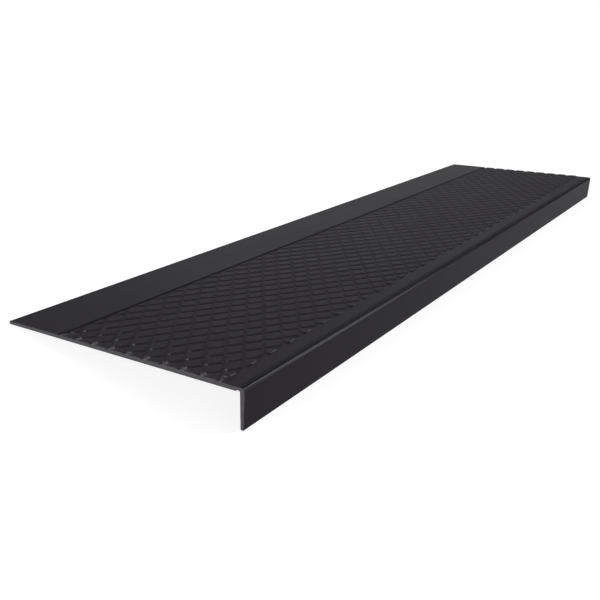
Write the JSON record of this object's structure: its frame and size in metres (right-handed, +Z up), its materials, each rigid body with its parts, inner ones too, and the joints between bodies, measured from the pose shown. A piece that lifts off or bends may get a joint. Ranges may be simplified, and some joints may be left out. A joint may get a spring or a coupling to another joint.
{
  "type": "rubber stair tread",
  "caption": "Flat rubber stair tread with a raised diamond grip field, a smooth rear strip and a square nosing flange along the front edge.",
  "frame": {"origin": "bottom centre of the bounding box, on the floor that the tread lies on", "axes": "+X along the nosing, +Y from the nosing to the rear edge, +Z up; the plate slopes down to the rear by 7.4 degrees, as the tread rests on its flange and rear edge"},
  "size_m": [1.2192, 0.3114, 0.0417],
  "materials": {
    "rubber": "satin"
  },
  "bodies": {
    "root": {"tread": "rubber"}
  },
  "joints": []
}
